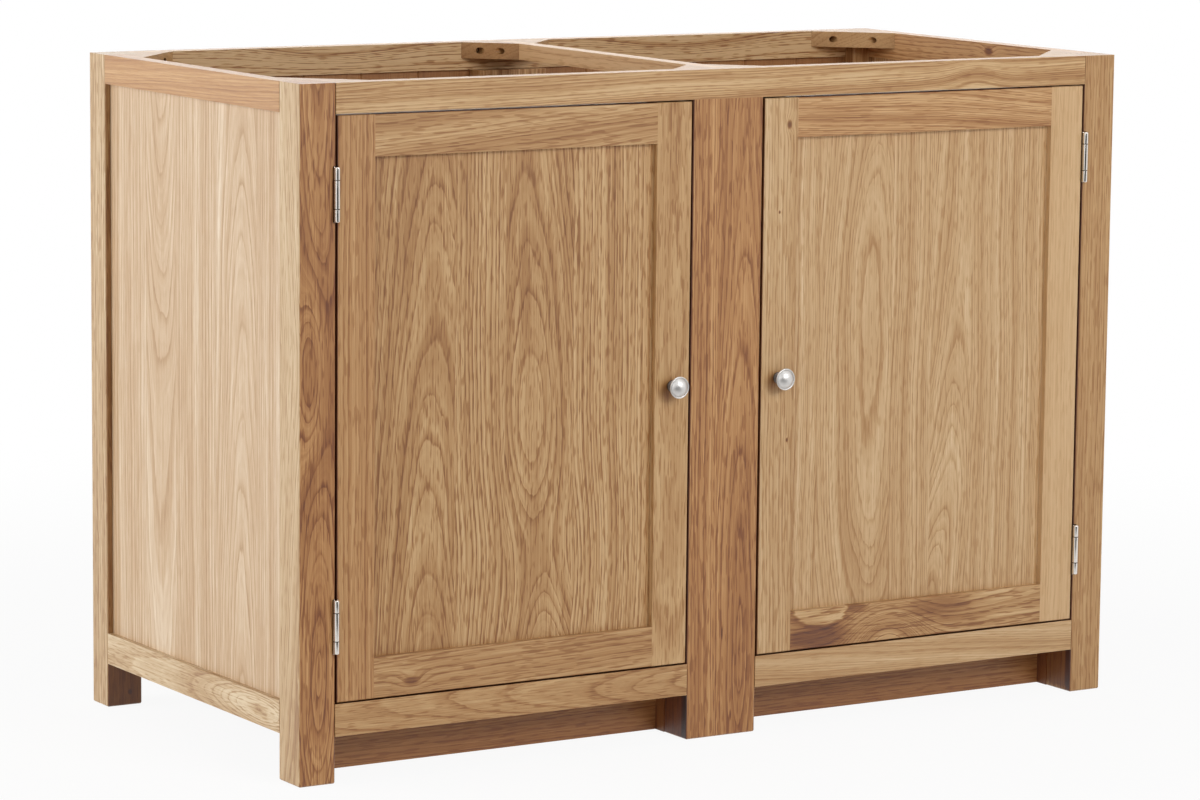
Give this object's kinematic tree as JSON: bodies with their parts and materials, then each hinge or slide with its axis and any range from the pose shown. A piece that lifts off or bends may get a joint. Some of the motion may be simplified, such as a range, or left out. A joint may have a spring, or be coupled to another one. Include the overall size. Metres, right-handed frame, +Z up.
{
  "type": "kitchen base cabinet",
  "caption": "Wide oak kitchen base cabinet without a worktop: post-and-rail carcass on feet, recessed plinth, open braced top and inset panelled doors on butt hinges with round steel knobs.",
  "frame": {"origin": "on the floor, under the middle of the whole box, the knobs included", "axes": "+X to the right as seen from the front, -Y to the front where the doors are, +Z up"},
  "size_m": [1.24, 0.6144, 0.87],
  "materials": {
    "oak_frame": "oiled, satin",
    "oak_panel": "oiled, satin",
    "oak_inside": "oiled, satin",
    "satin_steel": "satin",
    "catch_plastic": "matt"
  },
  "bodies": {
    "cabinet": {"front_post_left": "oak_frame", "front_post_right": "oak_frame", "back_post_left": "oak_frame", "back_post_right": "oak_frame", "centre_stile": "oak_frame", "centre_back_post": "oak_frame", "front_top_rail": "oak_frame", "back_top_rail": "oak_frame", "front_bottom_rail_left": "oak_frame", "front_bottom_rail_right": "oak_frame", "back_bottom_rail_left": "oak_frame", "back_bottom_rail_right": "oak_frame", "side_top_rail_left": "oak_frame", "side_top_rail_right": "oak_frame", "side_bottom_rail_left": "oak_frame", "side_bottom_rail_right": "oak_frame", "cross_rail": "oak_frame", "plinth": "oak_frame", "side_panel_left": "oak_panel", "side_panel_right": "oak_panel", "back_panel_left": "oak_panel", "back_panel_right": "oak_panel", "base_panel_left": "oak_inside", "base_panel_right": "oak_inside", "base_bearers": "oak_inside", "plinth_blocks": "oak_inside", "shelf_left": "oak_inside", "shelf_right": "oak_inside", "corner_blocks": "oak_inside", "shelf_pegs": "satin_steel", "frame_hinge_leaves_left": "satin_steel", "frame_hinge_leaves_right": "satin_steel", "hinge_pins_left": "satin_steel", "hinge_pins_right": "satin_steel", "door_catches": "catch_plastic"},
    "left_door": {"left_door_hinge_stile": "oak_frame", "left_door_lock_stile": "oak_frame", "left_door_top_rail": "oak_frame", "left_door_bottom_rail": "oak_frame", "left_door_panel": "oak_panel", "left_door_knob": "satin_steel", "left_door_knob_screw": "satin_steel", "left_door_strike_plate": "satin_steel", "left_door_hinge_leaves": "satin_steel"},
    "right_door": {"right_door_hinge_stile": "oak_frame", "right_door_lock_stile": "oak_frame", "right_door_top_rail": "oak_frame", "right_door_bottom_rail": "oak_frame", "right_door_panel": "oak_panel", "right_door_knob": "satin_steel", "right_door_knob_screw": "satin_steel", "right_door_strike_plate": "satin_steel", "right_door_hinge_leaves": "satin_steel"}
  },
  "joints": [
    {"name": "left_door_hinge", "type": "hinge", "parent": "cabinet", "child": "left_door", "pos_m": [-0.5705, -0.28695, 0.466], "axis": [0, 0, -1], "range_deg": [0, 170]},
    {"name": "right_door_hinge", "type": "hinge", "parent": "cabinet", "child": "right_door", "pos_m": [0.5705, -0.28695, 0.466], "axis": [0, 0, 1], "range_deg": [0, 170]}
  ]
}
